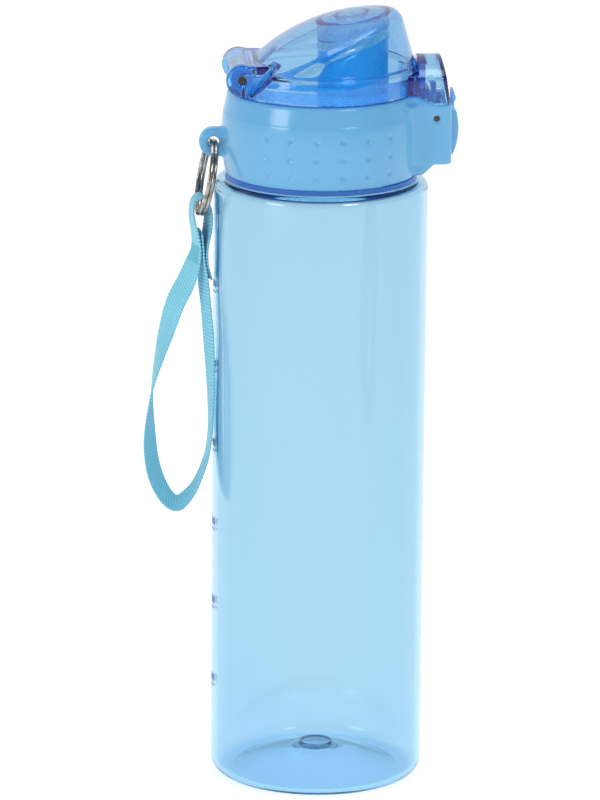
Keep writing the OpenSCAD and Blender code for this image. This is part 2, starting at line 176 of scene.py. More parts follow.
# ---------------------------------------------------------------- materials
class Nodes:
    """A material's node tree with short calls to add and join nodes."""

    def __init__(self, name):
        self.mat = bpy.data.materials.new(name)
        self.mat.use_nodes = True
        self.tree = self.mat.node_tree
        self.bsdf = self.tree.nodes["Principled BSDF"]
        self.out = self.tree.nodes["Material Output"]

    def add(self, kind, **values):
        node = self.tree.nodes.new(kind)
        for key, value in values.items():
            if hasattr(node, key):
                setattr(node, key, value)
            else:
                node.inputs[key.replace("_", " ")].default_value = value
        return node

    def join(self, a, b):
        self.tree.links.new(a, b)

    def set(self, **values):
        for key, value in values.items():
            self.bsdf.inputs[key.replace("_", " ")].default_value = value

    def noise(self, scale, detail=3.0, stretch=(1, 1, 1)):
        coords = self.add("ShaderNodeTexCoord")
        mapping = self.add("ShaderNodeMapping")
        mapping.inputs["Scale"].default_value = stretch
        self.join(coords.outputs["Object"], mapping.inputs["Vector"])
        noise = self.add("ShaderNodeTexNoise", Scale=scale, Detail=detail)
        self.join(mapping.outputs["Vector"], noise.inputs["Vector"])
        return noise.outputs["Fac"]

    def spread(self, fac, low, high):
        """Maps a noise value to a number between low and high."""
        ramp = self.add("ShaderNodeMapRange")
        for key, value in (("From Min", 0.35), ("From Max", 0.65), ("To Min", low), ("To Max", high)):
            ramp.inputs[key].default_value = value
        self.join(fac, ramp.inputs["Value"])
        return ramp.outputs["Result"]

    def tint(self, fac, a, b):
        ramp = self.add("ShaderNodeValToRGB")
        ramp.color_ramp.elements[0].position, ramp.color_ramp.elements[1].position = 0.3, 0.7
        ramp.color_ramp.elements[0].color = (*a, 1)
        ramp.color_ramp.elements[1].color = (*b, 1)
        self.join(fac, ramp.inputs["Fac"])
        return ramp.outputs["Color"]

    def bump(self, height, strength, distance):
        bump = self.add("ShaderNodeBump", Strength=strength, Distance=distance)
        self.join(height, bump.inputs["Height"])
        self.join(bump.outputs["Normal"], self.bsdf.inputs["Normal"])


def clear_plastic(name, skin, pass_colour, wall, through):
    """Clear tinted plastic: skin is the tint of its two faces together, and pass_colour is the share of
    light that gets through `wall` metres of it. Lamps shine through with the tint `through`."""
    m = Nodes(name)
    m.set(Transmission_Weight=1.0, IOR=1.5)
    m.join(m.tint(m.noise(14), [c * 0.985 for c in skin], skin), m.bsdf.inputs["Base Color"])
    m.join(m.spread(m.noise(90), 0.01, 0.03), m.bsdf.inputs["Roughness"])
    m.bump(m.noise(45, 2.0), 0.25, 0.00001)
    lamp_path = m.add("ShaderNodeLightPath")
    clear = m.add("ShaderNodeBsdfTransparent")
    clear.inputs["Color"].default_value = (*through, 1)
    mix = m.add("ShaderNodeMixShader")
    m.join(lamp_path.outputs["Is Shadow Ray"], mix.inputs["Fac"])
    m.join(m.bsdf.outputs["BSDF"], mix.inputs[1])
    m.join(clear.outputs["BSDF"], mix.inputs[2])
    m.join(mix.outputs["Shader"], m.out.inputs["Surface"])
    loss = [-math.log(c) / wall for c in pass_colour]
    absorb = m.add("ShaderNodeVolumeAbsorption")
    absorb.inputs["Density"].default_value = max(loss)
    absorb.inputs["Color"].default_value = (*[1 - v / max(loss) for v in loss], 1)
    m.join(absorb.outputs["Volume"], m.out.inputs["Volume"])
    return m.mat


def moulded(name, low, high, roughness, passes=0.0, soak=0.0, painted_glow=(0, 0, 0)):
    """Moulded plastic with faint flow marks and a fine satin grain. `soak` is how far light goes into it. The
    last argument is a painted glow: the plastic emits a little light, which stands in for light that comes
    through its walls and lifts its shaded parts."""
    m = Nodes(name)
    m.join(m.tint(m.noise(28), low, high), m.bsdf.inputs["Base Color"])
    m.join(m.spread(m.noise(160), *roughness), m.bsdf.inputs["Roughness"])
    m.set(Transmission_Weight=passes, IOR=1.49)
    m.set(Subsurface_Weight=soak, Subsurface_Scale=0.003, Subsurface_Radius=(0.3, 0.8, 1.0))
    # Painted glow: emitted light in place of light that comes through the walls.
    m.set(Emission_Color=(*painted_glow, 1), Emission_Strength=1.0 if any(painted_glow) else 0.0)
    m.bump(m.noise(2600, 2.0), 0.3, 0.00001)
    return m.mat


def steel(name, low, high, roughness):
    m = Nodes(name)
    m.join(m.tint(m.noise(300, stretch=(1, 6, 1)), low, high), m.bsdf.inputs["Base Color"])
    m.join(m.spread(m.noise(500), *roughness), m.bsdf.inputs["Roughness"])
    m.set(Metallic=1.0)
    m.bump(m.noise(1500, 2.0), 0.2, 0.00001)
    return m.mat


def paint_gap_shade(mat, start, stop, gap_shade_colour):
    """Paints shade into the plastic: a deep blue at height `start`, where it stands in the shade of a gap,
    fading to its own colour at `stop`."""
    tree = mat.node_tree
    socket = tree.nodes["Principled BSDF"].inputs["Base Color"]
    plain = socket.links[0].from_socket
    coords, split = tree.nodes.new("ShaderNodeTexCoord"), tree.nodes.new("ShaderNodeSeparateXYZ")
    tree.links.new(coords.outputs["Object"], split.inputs["Vector"])
    fade = tree.nodes.new("ShaderNodeMapRange")
    fade.inputs["From Min"].default_value, fade.inputs["From Max"].default_value = start, stop
    tree.links.new(split.outputs["Z"], fade.inputs["Value"])
    mix = tree.nodes.new("ShaderNodeMix")
    mix.data_type = "RGBA"
    tree.links.new(fade.outputs["Result"], mix.inputs["Factor"])
    mix.inputs["A"].default_value = (*gap_shade_colour, 1)
    tree.links.new(plain, mix.inputs["B"])
    tree.links.new(mix.outputs["Result"], socket)


# Painted shade: the deep blue that stands in for the shade in the gaps below the collar and under the lid's
# skirt.
GAP_SHADE_BLUE = (0.012, 0.10, 0.42)
body_clear = clear_plastic("clear_body", (0.735, 0.82, 0.88), (0.77, 0.92, 0.98), 0.002, (0.72, 0.86, 0.94))
lid_clear = clear_plastic("clear_lid", (0.97, 0.96, 0.95), (0.45, 0.72, 0.93), 0.002, (0.62, 0.84, 0.95))
# The glows given to the azure and sky plastics are painted light that lifts their shaded parts.
azure = moulded("azure_plastic", (0.02, 0.50, 0.78), (0.025, 0.53, 0.82), (0.26, 0.3), passes=0.15, soak=0.4,
                painted_glow=(0.0, 0.035, 0.10))
sky = moulded("sky_plastic", (0.13, 0.385, 0.61), (0.138, 0.395, 0.62), (0.18, 0.2), soak=0.25,
              painted_glow=(0.008, 0.04, 0.09))
# Painted shade on the inner cap's ring, in the gap below the collar, and on the collar's top face, in the gap
# under the lid.
paint_gap_shade(azure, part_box("inner_cap")[0].z + 0.0016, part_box("inner_cap")[0].z + 0.0019, GAP_SHADE_BLUE)
paint_gap_shade(sky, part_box("collar")[1].z - 0.0001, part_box("collar")[1].z - 0.0005, GAP_SHADE_BLUE)
# The silicone's glow is painted light too.
silicone = moulded("silicone", (0.86, 0.94, 0.98), (0.90, 0.96, 0.99), (0.2, 0.3), passes=0.8,
                   painted_glow=(0.02, 0.05, 0.07))
steel_bright = steel("steel_bright", (0.45, 0.43, 0.40), (0.60, 0.58, 0.55), (0.12, 0.25))
steel_ring = steel("steel_ring", (0.20, 0.18, 0.16), (0.58, 0.55, 0.51), (0.10, 0.25))
# The pins' steel is made very dark as painted shade for their recessed ends.
steel_dark = steel("steel_dark", (0.03, 0.025, 0.022), (0.09, 0.08, 0.07), (0.3, 0.45))
ink = moulded("scale_ink", (0.04, 0.15, 0.42), (0.06, 0.19, 0.48), (0.4, 0.55))
yarn = moulded("stitch_yarn", (0.22, 0.68, 0.84), (0.26, 0.72, 0.88), (0.6, 0.8))


def woven(name, light, groove_shade_colour):
    """Ribbed webbing: the grooves between the ribs, which the mesh marks, get a darker painted shade."""
    m = Nodes(name)
    groove_shade = m.add("ShaderNodeAttribute", attribute_name="groove_shade")
    shade = m.add("ShaderNodeMix", data_type="RGBA")
    m.join(groove_shade.outputs["Fac"], shade.inputs["Factor"])
    m.join(m.tint(m.noise(60), light, [c * 1.08 for c in light]), shade.inputs["A"])
    # Painted shade: the darker colour laid into the grooves and between the selvedge knots.
    shade.inputs["B"].default_value = (*groove_shade_colour, 1)
    m.join(shade.outputs["Result"], m.bsdf.inputs["Base Color"])
    m.join(m.spread(m.noise(700), 0.62, 0.85), m.bsdf.inputs["Roughness"])
    m.set(Sheen_Weight=0.25, Sheen_Roughness=0.4)
    m.bump(m.noise(2200, 3.0, stretch=(1, 1, 3)), 0.5, 0.00004)
    return m.mat


# The second colour is the painted shade in the grooves.
webbing = woven("webbing", (0.25, 0.66, 0.82), (0.05, 0.36, 0.52))

FINISH = {
    "bottle_body": body_clear, "flip_lid": lid_clear, "inner_cap": azure, "collar": sky,
    "push_button": sky, "lock_slider": sky, "neck_gasket": silicone, "spout_seal": silicone,
    "hinge_pin": steel_dark, "lid_spring": steel_bright, "button_pin": steel_dark,
    "button_spring": steel_bright, "split_ring": steel_bright, "strap": webbing,
}
for node, mat in FINISH.items():
    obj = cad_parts[node]
    obj.data.materials.clear()
    obj.data.materials.append(mat)


# ---------------------------------------------------------------- mesh helpers
def add_mesh(name, verts, faces, mat, body, stands_for=(), sharp=40):
    """A smooth piece, with an edge wherever two faces meet at more than `sharp` degrees."""
    mesh = bpy.data.meshes.new(name)
    mesh.from_pydata([tuple(v) for v in verts], [], faces)
    mesh.validate()
    bm = bmesh.new()
    bm.from_mesh(mesh)
    bmesh.ops.recalc_face_normals(bm, faces=bm.faces)
    bm.to_mesh(mesh)
    bm.free()
    for polygon in mesh.polygons:
        polygon.use_smooth = True
    mesh.set_sharp_from_angle(angle=math.radians(sharp))
    mesh.materials.append(mat)
    obj = bpy.data.objects.new(name, mesh)
    scene.collection.objects.link(obj)
    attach(obj, body)
    if stands_for:
        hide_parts(*stands_for)
    return obj


def loft(rings):
    """Faces that join equal loops of points and close both ends; returns (verts, faces)."""
    rings = np.asarray(rings, float)
    n, m = rings.shape[:2]
    faces = []
    for i in range(n - 1):
        a, b = i * m, (i + 1) * m
        faces += [(a + j, a + (j + 1) % m, b + (j + 1) % m, b + j) for j in range(m)]
    faces += [tuple(range(m))[::-1], tuple((n - 1) * m + j for j in range(m))]
    return rings.reshape(-1, 3), faces


def tube_rings(path, section, up):
    """Carries a section, a list of (across, along-up) pairs, along a path of points."""
    path = np.asarray(path, float)
    ahead = np.gradient(path, axis=0)
    ahead /= np.linalg.norm(ahead, axis=1)[:, None]
    up = np.broadcast_to(np.asarray(up, float), path.shape)
    side = np.cross(ahead, up)
    side /= np.linalg.norm(side, axis=1)[:, None]
    over = np.cross(side, ahead)
    s = np.asarray(section, float)
    return path[:, None] + s[None, :, :1] * side[:, None] + s[None, :, 1:] * over[:, None]


def circle(r, n):
    return [(r * math.cos(2 * math.pi * i / n), r * math.sin(2 * math.pi * i / n)) for i in range(n)]


def arc(cx, cy, r, a0, a1, n):
    return [(cx + r * math.cos(math.radians(a0 + (a1 - a0) * i / n)),
             cy + r * math.sin(math.radians(a0 + (a1 - a0) * i / n))) for i in range(n + 1)]


def smooth_step(x):
    x = np.clip(x, 0, 1)
    return x * x * (3 - 2 * x)


BODY_LOW, BODY_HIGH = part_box("bottle_body")
BODY_R = (BODY_HIGH.x - BODY_LOW.x) / 2 / MM
NECK_TOP = BODY_HIGH.z / MM
NECK_R, NECK_H = BODY_R - 7.8, 25.4
SHOULDER = NECK_TOP - NECK_H           # every height of the cap and the lid is counted from here


def rounded_moulding(node, name, voxel, passes, mat, body, soften=None, extra=0):
    """A copy of a CAD solid with its sharp edges rounded off. `soften` picks the points, by x, y and z in mm,
    that get `extra` more passes, where the real moulding has a larger radius."""
    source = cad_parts[node]
    obj = bpy.data.objects.new(name, source.data.copy())
    scene.collection.objects.link(obj)
    remesh = obj.modifiers.new("voxels", "REMESH")
    remesh.mode = "VOXEL"
    remesh.voxel_size = voxel * MM
    remesh.use_smooth_shade = True
    even_out = obj.modifiers.new("round", "SMOOTH")
    even_out.factor, even_out.iterations = 0.5, passes
    mesh = bpy.data.meshes.new_from_object(obj.evaluated_get(bpy.context.evaluated_depsgraph_get()))
    obj.modifiers.clear()
    obj.data = mesh
    mesh.name = name
    if soften:
        co = np.empty(len(mesh.vertices) * 3)
        mesh.vertices.foreach_get("co", co)
        weight = soften(*(co.reshape(-1, 3) / MM).T)
        group = obj.vertex_groups.new(name="soft")
        for i in np.nonzero(weight > 0.01)[0]:
            group.add([int(i)], float(weight[i]), "REPLACE")
        more = obj.modifiers.new("round_more", "SMOOTH")
        more.factor, more.iterations, more.vertex_group = 0.5, extra, "soft"
        mesh = bpy.data.meshes.new_from_object(obj.evaluated_get(bpy.context.evaluated_depsgraph_get()))
        obj.modifiers.clear()
        obj.vertex_groups.clear()
        obj.data = mesh
    mesh.materials.clear()
    mesh.materials.append(mat)
    for polygon in mesh.polygons:
        polygon.use_smooth = True
    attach(obj, body)
    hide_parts(node)
    return obj


def band(value, low, high, fade=1.0):
    """1 between low and high, falling to 0 over `fade` on both sides."""
    return smooth_step((value - low) / fade + 1) * smooth_step((high - value) / fade + 1)


COLLAR_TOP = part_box("collar")[1].z / MM


def housing_blend(x, y, z):
    """Where the latch housing grows out of the collar."""
    side = band(x, 20, 33, 2) * band(np.abs(y), 12, 26, 2) * band(np.hypot(x, y), 31.5, 40, 0.6)
    return side * band(z, COLLAR_TOP - 30, COLLAR_TOP - 3, 1.5)


DIMPLE_ANGLES = [start + 15.3 * k for start in (-96.1, 81.8) for k in range(-2, 4)]
DIMPLE_ROWS = [6.6 + 6.05 * row for row in range(3)]
DIMPLE_R, DIMPLE_EDGE, DIMPLE_DEPTH = 1.5, 1.3, 0.42
# Height above the shoulder and radius of the collar's outer face
COLLAR_WALL = [(1.85, 32.3), (5, 32.85), (8.65, 33.2), (12.5, 33.42), (16.15, 33.47), (20.95, 33.2),
               (22.6, 33.03)]


def true_wall(mesh):
    """Puts the collar's wall back on its exact curve of revolution, and presses the grip dimples into it."""
    co = np.empty(len(mesh.vertices) * 3)
    mesh.vertices.foreach_get("co", co)
    co = co.reshape(-1, 3) / MM
    x, y, up = co[:, 0], co[:, 1], co[:, 2] - SHOULDER
    r, turn = np.hypot(x, y), np.degrees(np.arctan2(y, x))
    fit = np.polyfit(*np.array(COLLAR_WALL).T, 4)
    wall = np.polyval(fit, up)
    # The wall alone: not its two edges, the latch housing at high x or the strap's lug at low x
    on_wall = (band(r - wall, -0.25, 0.3, 0.25) * band(up, 2.9, 22.0, 0.8) * smooth_step((29.5 - x) / 2)
               * smooth_step((x + 32.6) / 1.2 + 1)
               * smooth_step((np.abs(y) - 3.2) / 1.5 + band(x, -31, 60, 1)))
    press = np.zeros_like(r)
    for angle in DIMPLE_ANGLES:
        for height in DIMPLE_ROWS:
            away = np.hypot(np.radians((turn - angle + 180) % 360 - 180) * wall, up - height)
            press = np.maximum(press, DIMPLE_DEPTH * smooth_step((DIMPLE_R - away) / DIMPLE_EDGE))
    scale = 1 + on_wall * ((wall - press) / np.maximum(r, 1) - 1)
    co[:, :2] *= scale[:, None]
    mesh.vertices.foreach_set("co", (co * MM).ravel())
    mesh.update()


collar = rounded_moulding("collar", "collar_moulded", 0.44, 2, sky, "cap", housing_blend, 15)
true_wall(collar.data)
rounded_moulding("push_button", "button_moulded", 0.3, 4, sky, "button")


# ---------------------------------------------------------------- lid
# The lid is one distance field, from solids joined and cut with round edges. Heights are from the shoulder.
LID_WALL = 1.5
SKIRT_R, SKIRT_LOW, SKIRT_TOP = 31.6, 30.3, 39.4    # the upright wall under the dome
DOME_R, DOME_LEAN, DOME_LEAN_COS = 31.1, 0.285, 0.9617
CROWN_X, CROWN_R = 19, 60                           # the ball that closes the dome
CROWN_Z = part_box("flip_lid")[1].z / MM - SHOULDER - CROWN_R
HINGE_X, HINGE_Z, HINGE_R, ROOM_R = -27.3, 35.8, 5.4, 4.3
EAR_SIDE, KNUCKLE_SIDE = 16.4, 12.5                 # outer and inner face of each hinge ear
COVER_END = math.radians(145)                       # how far round the pin the ears' cover goes
NOTCH_X, NOTCH_Z, NOTCH_TOP, NOTCH_SIDE = -26.9, 29.3, 41.1, 16.1
NOTCH_RUN, NOTCH_RISE, NOTCH_LONG = 10.5, 11.8, 15.8
COWL_X, COWL_SIDE, COWL_LOW, COWL_WALL = 42.6, 15.2, 27.3, 1.4
COWL_ARCH_R, COWL_ARCH_Z, COWL_LEAN = 25.6, 15.8, math.radians(10)
CATCH_SIDE = 6.5
SPOUT_X, SPOUT_TOP, SPOUT_LEAN = 10.4, 46.1, math.radians(14.3)


def cut(*fields, r=0.4):
    """What all the solids share, with its edges rounded to r. Solids are given as distances to their
    faces."""
    out = fields[0]
    for other in fields[1:]:
        corner = np.hypot(np.maximum(out + r, 0), np.maximum(other + r, 0))
        out = np.minimum(-r, np.maximum(out, other)) + corner
    return out


def fuse(*fields, r=0.4):
    return -cut(*[-f for f in fields], r=r)


def slab(v, low, high):
    return np.maximum(low - v, v - high)


def crown(x, y, z):
    """Distance from the middle of the crown's ball."""
    return np.sqrt((x - CROWN_X) ** 2 + y ** 2 + (z - CROWN_Z) ** 2)


def dome_side(x, y, z):
    return (np.hypot(x, y) - DOME_R + DOME_LEAN * (z - SKIRT_TOP)) * DOME_LEAN_COS


def notch(x, y, z, inset):
    """What the sloped ends beside the hinge leave free; `inset` thickens the walls towards the hollow."""
    slope = ((x - NOTCH_X) * NOTCH_RISE - (z - NOTCH_Z) * NOTCH_RUN) / NOTCH_LONG
    return cut(slope - inset, z - NOTCH_TOP, NOTCH_SIDE - inset - np.abs(y), r=0.3)


def shell(x, y, z):
    """The outside of the skirt and the dome, whose corner gets rounder towards the front."""
    front = smooth_step((x - 5) / 15)
    skirt = cut(cut(np.hypot(x, y) - SKIRT_R, z - SKIRT_TOP, r=0.5), SKIRT_LOW - z, r=0.1)
    dome = cut(dome_side(x, y, z), crown(x, y, z) - CROWN_R, 35 - z, r=0.8 + 2.2 * front)
    return cut(fuse(skirt, dome, r=0.25), -notch(x, y, z, 0), r=0.7)


def hollow(x, y, z):
    front = smooth_step((x - 5) / 15)
    skirt = cut(np.hypot(x, y) - SKIRT_R + LID_WALL, z - 37.8)
    dome = cut(dome_side(x, y, z) + LID_WALL, crown(x, y, z) - CROWN_R + LID_WALL, 34.4 - z,
               r=2.2 + 0.5 * front)
    return cut(fuse(skirt, dome, r=0.3), -notch(x, y, z, LID_WALL), r=0.3)


def from_pin(x, z):
    return np.hypot(x - HINGE_X, z - HINGE_Z)


def hinge_block(x, y, z):
    bar = cut(slab(x, HINGE_X, -17.3), slab(z, SKIRT_LOW, 40.7))
    return cut(fuse(from_pin(x, z) - HINGE_R, bar, r=0.6), np.abs(y) - EAR_SIDE, r=0.5)


def hinge_room(x, y, z):
    """Room for the knuckles and the spring between the ears, out to the cover's end, and the pin's bore."""
    ahead = (x - HINGE_X) * math.cos(COVER_END) + (z - HINGE_Z) * math.sin(COVER_END)
    over = -(x - HINGE_X) * math.sin(COVER_END) + (z - HINGE_Z) * math.cos(COVER_END)
    return fuse(from_pin(x, z) - ROOM_R, cut(slab(x, -35.3, -18.3), slab(z, 25.3, HINGE_Z)),
                cut(slab(x, HINGE_X, -22.3), slab(z, 34.8, 39.6)),
                cut(slab(ahead, 0, 10), slab(over, 0, 10)), r=0.2)


def cowl(x, y, z, inset, r):
    """The housing over the catch at the lid's front, taken in by `inset`."""
    plan = cut(x - COWL_X, np.abs(y) - COWL_SIDE, r=4)
    lean = (x - 42.4) * math.cos(COWL_LEAN) + (z - 27) * math.sin(COWL_LEAN)
    arch = np.hypot(y, z - COWL_ARCH_Z) - COWL_ARCH_R
    return cut(plan + inset, arch + inset, lean + inset, COWL_LOW - inset - z, 24 - x, r=r)


def hood(x, y, z):
    """The cowl outside the collar, with its lower edge sloped and a gap between it and the dome."""
    below_skirt = np.maximum(np.hypot(x, y) - 31.5, z - SKIRT_LOW)
    under = np.maximum(z - SKIRT_LOW, ((x - 30.2) * 3 + (z - SKIRT_LOW) * 6.6) / 7.25)
    gap = cut(slab(x, 0, SKIRT_R), 36.8 - z)
    return cut(cowl(x, y, z, 0, 0.7), -below_skirt, -under, -gap, r=0.3)


def catch(x, y, z):
    """The plate inside the cowl, and the lip on it that the button's hook holds."""
    side = np.abs(y)
    plate = cut(slab(x, 32.2, 34.2), slab(z, 27, 40.6), side - CATCH_SIDE, r=0.25)
    return fuse(plate, cut(slab(x, 34, 35.6), slab(z, 29, 31), side - CATCH_SIDE, r=0.25), r=0.2)


def seal_socket(x, y, z):
    """The wall round the spout's seal, which ends a little above the spout's sloped rim."""
    above_rim = (x - SPOUT_X) * math.sin(SPOUT_LEAN) - (z - SPOUT_TOP) * math.cos(SPOUT_LEAN) + 2.6
    return cut(slab(np.hypot(x - SPOUT_X, y), 10.7, 12), crown(x, y, z) - 59.5, above_rim, SPOUT_TOP - z,
               r=0.3)


def seal_rib(x, y, z):
    return cut(slab(np.hypot(x - 9.8, y), 4.6, 5.5), slab(crown(x, y, z), 57.4, 59.3), r=0.25)


def lid_field(x, y, z):
    """Distance to the lid's surface in mm, negative inside its walls."""
    solid = fuse(shell(x, y, z), hinge_block(x, y, z), hood(x, y, z), r=0.3)
    under_cowl = cut(cowl(x, y, z, COWL_WALL, 0.4), 32.6 - np.hypot(x, y), r=0.3)
    solid = cut(solid, -hollow(x, y, z), -under_cowl, r=0.3)
    solid = fuse(solid, catch(x, y, z), seal_socket(x, y, z), seal_rib(x, y, z), r=0.25)
    room = cut(hinge_room(x, y, z), np.abs(y) - KNUCKLE_SIDE, r=0.3)
    return cut(solid, -room, 1.55 - from_pin(x, z), r=0.3)


def pull_onto(field, co, step):
    """Moves the points onto the surface where the field is zero, in three steps along its slope."""
    for _ in range(3):
        value = field(*co.T)
        slope = np.stack([(field(*(co + d).T) - field(*(co - d).T)) / 0.02 for d in np.eye(3) * 0.01], 1)
        move = -value[:, None] * slope / np.maximum((slope ** 2).sum(1), 0.25)[:, None]
        co += np.clip(move, -step / 3, step / 3)
    return co


def mesh_of_field(field, low, high, step):
    """Quads over the surface where a distance field is zero: a point in each cell that the surface
    crosses, and a quad round each grid line that it crosses."""
    axes = [np.arange(a, b + step, step) for a, b in zip(low, high)]
    grid = np.meshgrid(*axes, indexing="ij")
    value = field(*grid)
    shape = np.array(value.shape) - 1
    total, count = np.zeros((*shape, 3)), np.zeros(shape)
    corner = {(i, j, k): value[i:i + shape[0], j:j + shape[1], k:k + shape[2]]
              for i in (0, 1) for j in (0, 1) for k in (0, 1)}
    for a, va in corner.items():
        for axis in range(3):
            if a[axis]:
                continue
            b = tuple(1 if n == axis else v for n, v in enumerate(a))
            vb = corner[b]
            crosses = (va < 0) != (vb < 0)
            t = np.where(crosses, va / np.where(crosses, va - vb, 1), 0)
            for n in range(3):
                total[..., n] += np.where(crosses, a[n] + (t if n == axis else 0), 0)
            count += crosses
    used = count > 0
    number = np.full(used.shape, -1)
    number[used] = np.arange(used.sum())
    cell = np.argwhere(used)
    co = (cell + total[used] / count[used][:, None]) * step + np.array([axis[0] for axis in axes])
    quads = []
    for axis in range(3):
        u, v = (axis + 1) % 3, (axis + 2) % 3
        here = [slice(1, -1)] * 3
        here[axis] = slice(0, -1)
        ahead = list(here)
        ahead[axis] = slice(1, None)
        a, b = value[tuple(here)] < 0, value[tuple(ahead)] < 0
        for flip, mask in ((False, a & ~b), (True, ~a & b)):
            at = np.argwhere(mask)
            at[:, u] += 1
            at[:, v] += 1
            ring = []
            for du, dv in ((-1, -1), (0, -1), (0, 0), (-1, 0)):
                c = at.copy()
                c[:, u] += du
                c[:, v] += dv
                ring.append(number[c[:, 0], c[:, 1], c[:, 2]])
            quads.append(np.stack(ring[::-1] if flip else ring, 1))
    return pull_onto(field, co, step), np.vstack(quads)


def clear_lid():
    co, quads = mesh_of_field(lid_field, (-33.6, -32.4, 26.4), (43.4, 32.4, 59.6), 0.46)
    co[:, 2] += SHOULDER
    add_mesh("lid_moulded", co * MM, quads.tolist(), lid_clear, "lid", ["flip_lid"], 50)


clear_lid()


# ---------------------------------------------------------------- bottle body
WALL = 1.9


def body_profile():
    """(r, z) pairs in mm, from the middle of the underside, up the outside, over the rim and down inside."""
    punt_r, foot, neck_in, corner = BODY_R - 8, 5.0, BODY_R - 10.2, 3.2

    def punt(r):
        return 7.0 * max(0.0, 1 - (r / punt_r) ** 2) ** 1.2

    def boss(r, wide, rise):
        return rise * float(smooth_step((wide - r) / 1.6))

    under = [(r, punt(r) + boss(r, 6.6, 0.5)) for r in np.linspace(0, punt_r, 70)]
    outside = arc(BODY_R - foot, foot, foot, -90, 0, 22)
    wall = [(BODY_R, z) for z in np.linspace(foot, SHOULDER - corner, 24)[1:-1]]
    shoulder = arc(BODY_R - corner, SHOULDER - corner, corner, 0, 90, 14)
    root = [(NECK_R + 1.2 - 1.2 * math.sin(a), SHOULDER + 1.2 - 1.2 * math.cos(a))
            for a in map(math.radians, np.linspace(0, 90, 8))]
    neck = [(NECK_R, z) for z in np.arange(SHOULDER + 1.5, NECK_TOP - 0.8, 0.3)]
    rim = arc(NECK_R - 0.7, NECK_TOP - 0.7, 0.7, 0, 90, 6)
    rim += arc(neck_in + 0.7, NECK_TOP - 0.7, 0.7, 90, 180, 6)
    inside_neck = [(neck_in, z) for z in np.linspace(NECK_TOP - 1.2, SHOULDER - 0.6, 12)]
    throat = [(neck_in + 2 - 2 * math.cos(a), SHOULDER - WALL + 2 - 2 * math.sin(a))
              for a in map(math.radians, np.linspace(20, 90, 8))]
    in_r = BODY_R - WALL
    in_shoulder = arc(BODY_R - corner, SHOULDER - corner, corner - WALL, 90, 0, 10)
    in_wall = [(in_r, z) for z in np.linspace(SHOULDER - corner, foot, 26)[1:-1]]
    in_foot = arc(BODY_R - foot, foot, foot - WALL, 0, -90, 18)
    floor_in = [(r, punt(r) + WALL + boss(r, 8.0, 0.6) + boss(r, 6.6, 0.8) - boss(r, 5.6, 0.6))
                for r in np.linspace(punt_r, 0, 90)]
    going_up = under + outside + wall + shoulder + root + neck + rim
    return going_up + inside_neck + throat + in_shoulder + in_wall + in_foot + floor_in


def spin(profile, count, bulge):
    """Closed solid of revolution whose first and last profile points are on the axis; `bulge` adds to its
    radius."""
    rows = np.asarray(profile[1:-1], float)
    turn = np.linspace(0, 2 * math.pi, count, endpoint=False)
    r = np.repeat(rows[:, :1], count, 1)
    z = np.repeat(rows[:, 1:], count, 1)
    r = r + bulge(turn[None], z, r)
    grid = np.stack([r * np.cos(turn), r * np.sin(turn), z], 2) * MM
    verts = np.vstack([grid.reshape(-1, 3), [[0, 0, profile[0][1] * MM], [0, 0, profile[-1][1] * MM]]])
    n = len(rows)
    faces = [(low + j, low + (j + 1) % count, low + count + (j + 1) % count, low + count + j)
             for low in range(0, (n - 1) * count, count) for j in range(count)]
    first, last = n * count, n * count + 1
    faces += [(first, (j + 1) % count, j) for j in range(count)]
    faces += [(last, (n - 1) * count + j, (n - 1) * count + (j + 1) % count) for j in range(count)]
    return verts, faces


def neck_thread(turn, z, r):
    """How far the single screw ridge stands out of the neck."""
    start, pitch, turns = SHOULDER + 8, 4.0, 1.25
    out = np.zeros_like(z)
    for lap in range(2):
        angle = turn + 2 * math.pi * lap
        away = np.abs(z - (start + pitch * angle / (2 * math.pi)))
        ends = smooth_step(angle / 0.35) * smooth_step((2 * math.pi * turns - angle) / 0.35)
        out = np.maximum(out, 1.1 * smooth_step((0.95 - away) / 0.55) * ends)
    return np.where(np.abs(r - NECK_R) < 0.01, out, 0)


def clear_bottle():
    verts, faces = spin(body_profile(), 160, neck_thread)
    add_mesh("bottle_clear", verts, faces, body_clear, "bottle", ["bottle_body"], 60)


clear_bottle()


